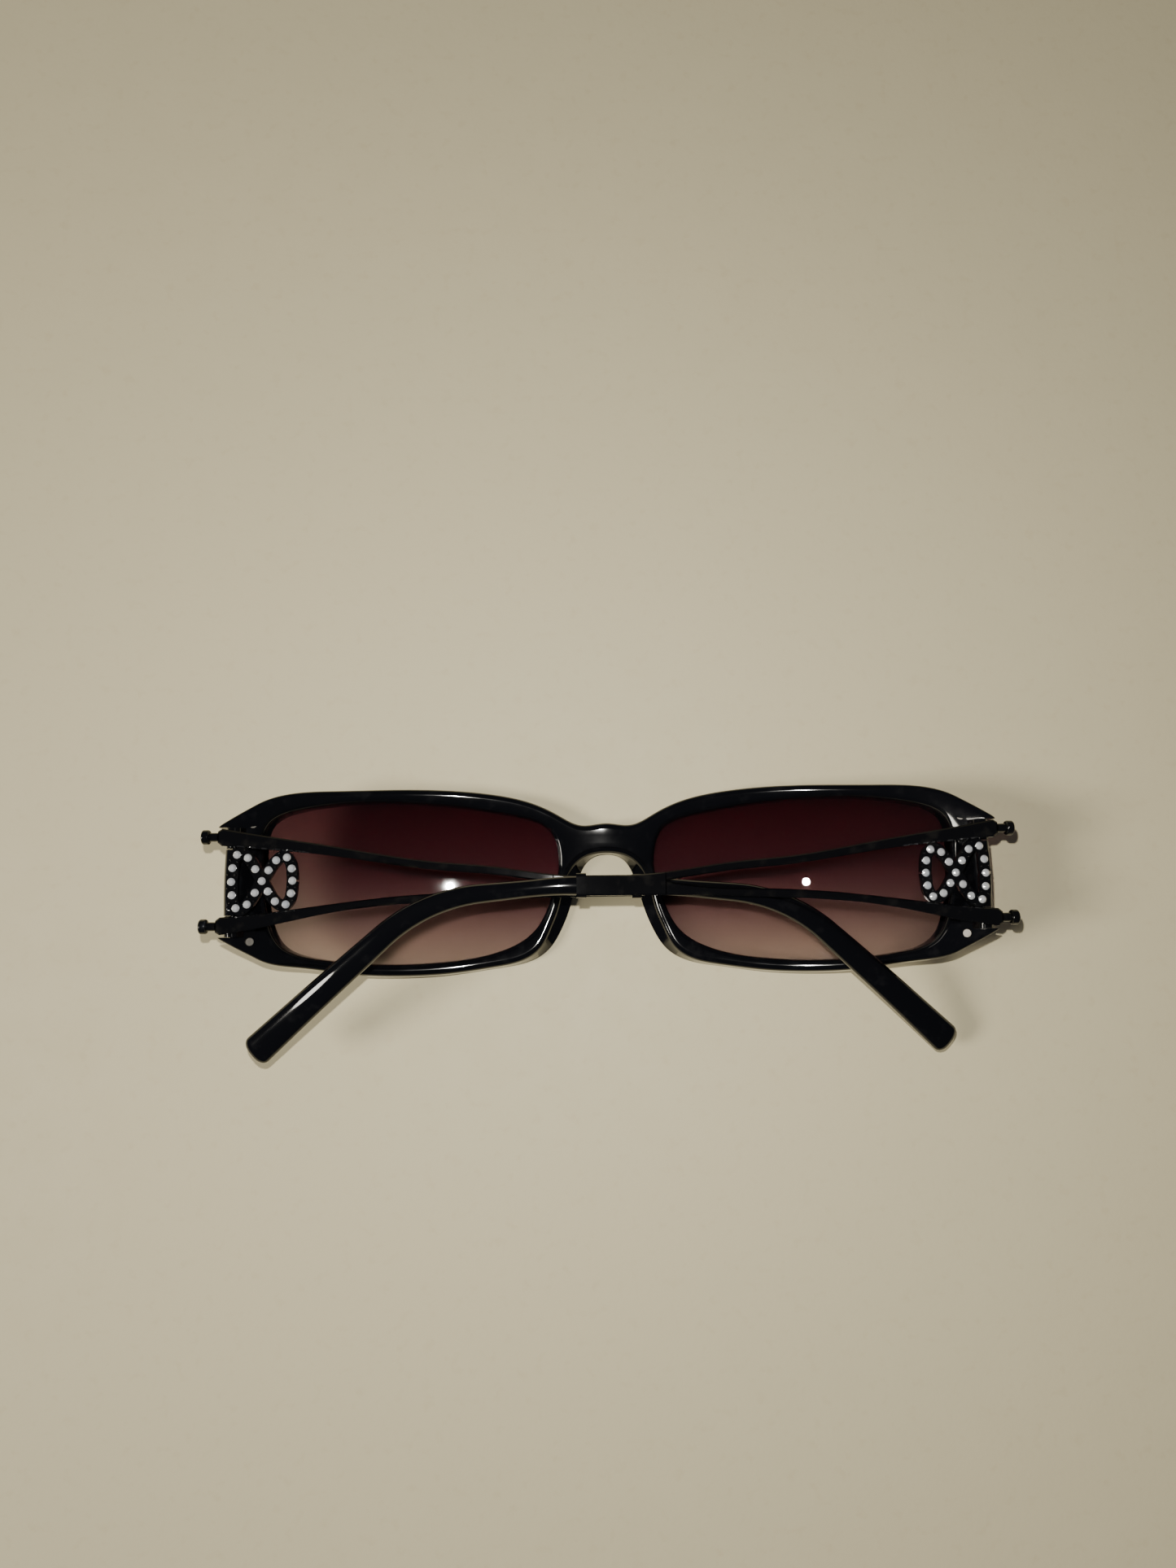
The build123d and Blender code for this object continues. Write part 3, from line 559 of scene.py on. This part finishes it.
def lens_material():
    """Plum glass, darker towards the brow, that lets lamps through with its own tint."""
    mat, nodes, links, bsdf = new_material("plum_gradient_lens")
    coords = nodes.new("ShaderNodeTexCoord")
    split = nodes.new("ShaderNodeSeparateXYZ")
    links.new(coords.outputs["Object"], split.inputs["Vector"])
    ends = ((MID_Y + LENS_LOW) * MM, (MID_Y + LENS_HIGH) * MM)
    level = remap(nodes, links, split.outputs["Y"], ends, (0.0, 1.0))
    ramp = nodes.new("ShaderNodeValToRGB")
    links.new(level, ramp.inputs["Fac"])
    stops = ramp.color_ramp.elements
    stops[0].position, stops[0].color = LENS_TINTS[0][0], (*LENS_TINTS[0][1], 1)
    stops[1].position, stops[1].color = LENS_TINTS[-1][0], (*LENS_TINTS[-1][1], 1)
    for at, tint in LENS_TINTS[1:-1]:
        stop = stops.new(at)
        stop.color = (*tint, 1)
    bsdf.inputs["Transmission Weight"].default_value = 1.0
    bsdf.inputs["IOR"].default_value = IOR
    links.new(ramp.outputs["Color"], bsdf.inputs["Base Color"])
    smudge = noise(nodes, links, coords, LENS_SMUDGE_SCALE, LENS_SMUDGE_DETAIL)
    roughness = remap(nodes, links, smudge, LENS_SMUDGE_RANGE, (0.0, LENS_ROUGHNESS))
    links.new(roughness, bsdf.inputs["Roughness"])
    clear = nodes.new("ShaderNodeBsdfTransparent")
    links.new(ramp.outputs["Color"], clear.inputs["Color"])
    path = nodes.new("ShaderNodeLightPath")
    blend = nodes.new("ShaderNodeMixShader")
    links.new(path.outputs["Is Shadow Ray"], blend.inputs["Fac"])
    links.new(bsdf.outputs["BSDF"], blend.inputs[1])
    links.new(clear.outputs["BSDF"], blend.inputs[2])
    links.new(blend.outputs["Shader"], nodes["Material Output"].inputs["Surface"])
    return mat


# The two colours of each finish are its own and that of its scuffs.
acetate = worn(
    "black_acetate", (0.0022, 0.0023, 0.0032), (0.006, 0.006, 0.007), rough=0.05, spread=0.05, bump=0.005
)
enamel = worn(
    "black_enamel", (0.0025, 0.0025, 0.003), (0.008, 0.0075, 0.007), rough=0.045, spread=0.045, bump=0.015
)
steel = worn(
    "dull_steel", (0.16, 0.15, 0.135), (0.08, 0.07, 0.06), rough=0.32, spread=0.2, bump=0.15, metallic=1.0
)
crystal = worn(
    "foiled_crystal",
    (0.93, 0.95, 0.99),
    (0.8, 0.86, 0.95),
    rough=0.03,
    spread=0.05,
    bump=0.02,
    metallic=0.55,
    coat=1.0,
)
plum = lens_material()


# ---------------------------------------------------------------- front and lenses


def make_front():
    """The acetate front, with a notch at each finial."""
    openings = [opening_outline(sign, 0, OPENING_POINTS) for _, sign in SIDES]
    rear = [(front_outline(REAR_R, REAR_ROUND, OUTLINE_POINTS), -1, REAR_ROUND)]
    rear += [(loop, 1, RIM_ROUND) for loop in openings]
    face = [(front_outline(FRONT_R, FACE_ROUND, OUTLINE_POINTS), -1, FACE_ROUND)]
    face += [(loop, 1, FACE_RIM_ROUND) for loop in openings]
    verts, faces = shell(rear, face, front_rear_height, lambda flat: cap_height(flat, FRONT_R))
    obj = mesh_object("acetate_front", verts, faces, acetate)
    cutters = []
    for _, sx in SIDES:
        for sy in (-1, 1):
            low, high = sorted(MID_Y + sy * edge for edge in NOTCH)
            cutters.append(prism([(sx * x, z) for x, z in NOTCH_PROFILE], low, high))
    cut(obj, cutters)
    obj.data.shade_smooth()
    obj.data.set_sharp_from_angle(angle=math.radians(CREASE["front"]))
    return obj


def make_lens(side, sign):
    edge = [(opening_outline(sign, LENS_GROW, OPENING_POINTS), -1, LENS_ROUND)]
    verts, faces = shell(
        edge, edge, lambda flat: cap_height(flat, LENS_REAR_R), lambda flat: cap_height(flat, LENS_FRONT_R)
    )
    obj = mesh_object(f"{side}_tinted_lens", verts, faces, plum, sharp=CREASE["lens"])
    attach(obj, "front")
    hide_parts(f"{side}_lens")


# ---------------------------------------------------------------- temples


def temple_point(side, u, v, w):
    """A point in the row frame from distance along the temple, height and distance from the face."""
    if side == "left":
        return np.array([-HINGE[0] + u, HINGE[1] + v, HINGE[2] + w])
    c, s = math.cos(LIFT), math.sin(LIFT)
    return np.array([HINGE[0] - u * c + w * s, HINGE[1] + v, HINGE[2] + u * s + w * c])


def sleeve_stations(length):
    """Distances of the sleeve's rings from its mouth, closer together where the end is rounded."""
    straight = length - TIP_LENGTH
    body = np.linspace(0, straight, SLEEVE_RINGS + 1)[:-1]
    tip = length - TIP_LENGTH * (1 - np.sin(np.linspace(0, math.pi / 2, TIP_RINGS)))
    return np.concatenate([body, tip])


def sleeve_ring(side, dense, size, i, left):
    """One oval section at the i-th draft point, `left` millimetres from the end."""
    before, after = max(i - HEADING_REACH, 0), min(i + HEADING_REACH, SLEEVE_DRAFT - 1)
    along = (dense[after] - dense[before]) / np.linalg.norm(dense[after] - dense[before])
    across = np.cross((0, 0, 1), along)
    across /= np.linalg.norm(across)
    over = np.cross(along, across)
    width, thick = size / 2
    if left < TIP_LENGTH:
        turn = 1 - math.sqrt(max(1 - (1 - left / TIP_LENGTH) ** 2, 0))
        width, thick = width - TIP_LENGTH * turn, thick - TIP_DEPTH * turn
    ring = []
    for k in range(SLEEVE_SIDES):
        c, s = math.cos(math.tau * k / SLEEVE_SIDES), math.sin(math.tau * k / SLEEVE_SIDES)
        x = math.copysign(abs(c) ** (2 / OVAL_POWER), c) * width
        y = math.copysign(abs(s) ** (2 / OVAL_POWER), s) * thick
        ring.append(temple_point(side, *(dense[i] + across * x + over * y)))
    return ring


def make_sleeve(side):
    """A plastic sleeve of smoothly changing oval section, with a softly rounded paddle end."""
    line = rounded_line(SLEEVE_LINE, SLEEVE_BENDS)
    length = np.linalg.norm(np.diff(line, axis=0), axis=1).sum()
    dense = resample(line, SLEEVE_DRAFT)
    sizes = spline(SLEEVE_SIZES, SIZE_DRAFT)
    rings = []
    for s in sleeve_stations(length):
        share = s / length
        size = sizes[min(int(share * (SIZE_DRAFT - 1)), SIZE_DRAFT - 1)]
        i = int(round(share * (SLEEVE_DRAFT - 1)))
        rings.append(sleeve_ring(side, dense, size, i, length - s))
    verts = [p for ring in rings for p in ring]
    faces = []
    for r in range(len(rings) - 1):
        a, b = r * SLEEVE_SIDES, (r + 1) * SLEEVE_SIDES
        for k in range(SLEEVE_SIDES):
            n = (k + 1) % SLEEVE_SIDES
            faces.append((a + k, a + n, b + n, b + k))
    for r in (0, len(rings) - 1):
        a = r * SLEEVE_SIDES
        verts.append(np.mean(rings[r], axis=0))
        faces += [(len(verts) - 1, a + k, a + (k + 1) % SLEEVE_SIDES) for k in range(SLEEVE_SIDES)]
    obj = mesh_object(f"{side}_tip_sleeve", verts, faces, acetate, sharp=CREASE["sleeve"])
    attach(obj, f"{side}_temple")
    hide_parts(f"{side}_temple_sleeve")


# ---------------------------------------------------------------- ornaments


def ribbon_point(turn):
    """The ribbon's middle line, a figure of eight that narrows away from the hinge."""
    u = RIBBON_CENTRE + RIBBON_REACH * math.sin(turn)
    return u, (RIBBON_SWING - RIBBON_TAPER * (u - RIBBON_CENTRE)) * math.sin(2 * turn)


def loop_place(start, share):
    """The point and direction at a share of the way round one of the ribbon's loops."""
    turns = [start + math.pi * i / RIBBON_DRAFT for i in range(RIBBON_DRAFT + 1)]
    loop = np.array([ribbon_point(turn) for turn in turns])
    steps = np.linalg.norm(np.diff(loop, axis=0), axis=1)
    i = min(int(np.searchsorted(np.cumsum(steps), share * steps.sum())), RIBBON_DRAFT - 1)
    return loop[i + 1], (loop[i + 1] - loop[i]) / steps[i]


def add_stone(verts, faces, side, place, tilt, spin):
    """A brilliant: table, crown and girdle facets over a plain foot."""
    starts = []
    for count, radius, height, phase in (TABLE_RING, CROWN_RING, GIRDLE_RING, RIM_RING, FOOT_RING):
        starts.append(len(verts))
        for k in range(count):
            turn = math.tau * (k + phase) / count + spin
            x, y = radius * math.cos(turn), radius * math.sin(turn)
            lift = height + (tilt[0] * x + tilt[1] * y) * (height > TILTS_ABOVE)
            verts.append(temple_point(side, place[0] + x, place[1] + y, PLATE_TOP + lift))
    table, crown, girdle, rim, foot = starts
    corners = 2 * FACETS
    faces.append(tuple(table + k for k in range(FACETS)))
    for k in range(FACETS):
        a, b = table + k, table + (k + 1) % FACETS
        c, d, e = (crown + (2 * k + step) % corners for step in (1, 2, 3))
        faces += [(a, c, d), (a, d, b), (b, d, e)]
    for a, b in ((crown, girdle), (girdle, rim), (rim, foot)):
        for k in range(corners):
            n = (k + 1) % corners
            faces.append((a + k, b + k, b + n, a + n))
    faces.append(tuple(foot + k for k in range(corners - 1, -1, -1)))


def make_stones(side):
    """The stones: one where the ribbon crosses itself, and the rest round its two loops."""
    rng = np.random.default_rng(STONE_SEEDS[side])
    places = [np.array([RIBBON_CENTRE, 0.0])]
    for start in (0.0, math.pi):
        places += [loop_place(start, i / (STONES_PER_LOOP + 1))[0] for i in range(1, STONES_PER_LOOP + 1)]
    verts, faces = [], []
    for place in places:
        tilt = rng.uniform(-TILT_SPREAD, TILT_SPREAD, 2)
        add_stone(verts, faces, side, place, tilt, rng.uniform(0, 1))
    obj = mesh_object(f"{side}_brilliants", verts, faces, crystal)
    obj.data.shade_flat()
    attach(obj, f"{side}_temple")
    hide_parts(f"{side}_rhinestones")


def add_dome(verts, faces, side, u, v):
    """A low dome that stands on the plate."""
    base = len(verts)
    turns = np.linspace(0, math.pi / 2, BEAD_ROWS + 1)[:-1]
    rows = [(BEAD_R, -BEAD_FOOT)] + [(BEAD_R * math.cos(a), BEAD_HEIGHT * math.sin(a)) for a in turns]
    for r, z in rows:
        for k in range(BEAD_SIDES):
            x, y = r * math.cos(math.tau * k / BEAD_SIDES), r * math.sin(math.tau * k / BEAD_SIDES)
            verts.append(temple_point(side, u + x, v + y, PLATE_TOP + z))
    verts.append(temple_point(side, u, v, PLATE_TOP + BEAD_HEIGHT))
    for row in range(len(rows) - 1):
        a, b = base + row * BEAD_SIDES, base + (row + 1) * BEAD_SIDES
        for k in range(BEAD_SIDES):
            n = (k + 1) % BEAD_SIDES
            faces.append((a + k, a + n, b + n, b + k))
    top = base + (len(rows) - 1) * BEAD_SIDES
    faces += [(top + k, top + (k + 1) % BEAD_SIDES, len(verts) - 1) for k in range(BEAD_SIDES)]
    faces.append(tuple(base + k for k in range(BEAD_SIDES - 1, -1, -1)))


def make_beads(side):
    """Pairs of prong tips, one on each side of the ribbon between two stones."""
    verts, faces = [], []
    for start in (0.0, math.pi):
        for i in range(1, STONES_PER_LOOP):
            (u, v), (du, dv) = loop_place(start, (i + 0.5) / (STONES_PER_LOOP + 1))
            for s in (1, -1):
                add_dome(verts, faces, side, u - s * BEAD_OFFSET * dv, v + s * BEAD_OFFSET * du)
    obj = mesh_object(f"{side}_prong_tips", verts, faces, enamel, sharp=CREASE["beads"])
    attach(obj, f"{side}_temple")
    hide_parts(f"{side}_prong_beads")


# ---------------------------------------------------------------- pieces

front = make_front()
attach(front, "front")
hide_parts("front_frame")

for side, sign in SIDES:
    make_lens(side, sign)

for side, _ in SIDES:
    make_sleeve(side)
    make_stones(side)
    make_beads(side)

# The CAD nodes that stay, by how their names end.
FINISHES = {
    "hinge_leaf": enamel,
    "hinge_screws": steel,
    "hinge_rivets": steel,
    "bar": enamel,
    "finials": enamel,
    "collar": enamel,
    "core_wire": steel,
    "ornament_plate": enamel,
}
for name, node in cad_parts.items():
    finish = next((mat for end, mat in FINISHES.items() if name.endswith(end)), None)
    if finish:
        node.data.materials.clear()
        node.data.materials.append(finish)


# ---------------------------------------------------------------- floor, lights and camera


def add_light(name, place, size, power, colour):
    """A disc lamp that faces the middle of the table."""
    lamp = bpy.data.lights.new(name, "AREA")
    lamp.shape, lamp.size, lamp.energy, lamp.color = "DISK", size, power, colour
    obj = bpy.data.objects.new(name, lamp)
    obj.location = place
    obj.rotation_euler = (-Vector(place)).to_track_quat("-Z", "Y").to_euler()
    bpy.context.scene.collection.objects.link(obj)


bpy.ops.mesh.primitive_plane_add(size=FLOOR_SIZE)
floor = bpy.context.object
floor.name = "floor"
table = worn("pale_table", (0.675, 0.605, 0.395), (0.65, 0.575, 0.37), rough=0.55, spread=0.15, bump=0.1)
floor.data.materials.append(table)

add_light("flash", FLASH_PLACE, FLASH_SIZE, FLASH_POWER, FLASH_COLOUR)
add_light("window", WINDOW_PLACE, WINDOW_SIZE, WINDOW_POWER, WINDOW_COLOUR)

world = bpy.data.worlds.new("room")
bpy.context.scene.world = world
world.use_nodes = True
world.node_tree.nodes["Background"].inputs["Color"].default_value = (*ROOM_COLOUR, 1)
world.node_tree.nodes["Background"].inputs["Strength"].default_value = ROOM_STRENGTH

ahead = Vector((0, math.sin(CAMERA_TILT), -math.cos(CAMERA_TILT)))
up = Vector((0, math.cos(CAMERA_TILT), math.sin(CAMERA_TILT)))
axes = Matrix((ahead.cross(up), up, -ahead)).transposed()
view = bpy.data.cameras.new("camera")
view.lens, view.sensor_width, view.clip_start = FOCAL_LENGTH, SENSOR_WIDTH, CLIP_START
camera = bpy.data.objects.new("camera", view)
camera.matrix_world = Matrix.Translation(CAMERA) @ (Matrix.Rotation(CAMERA_ROLL, 3, ahead) @ axes).to_4x4()
bpy.context.scene.collection.objects.link(camera)
bpy.context.scene.camera = camera
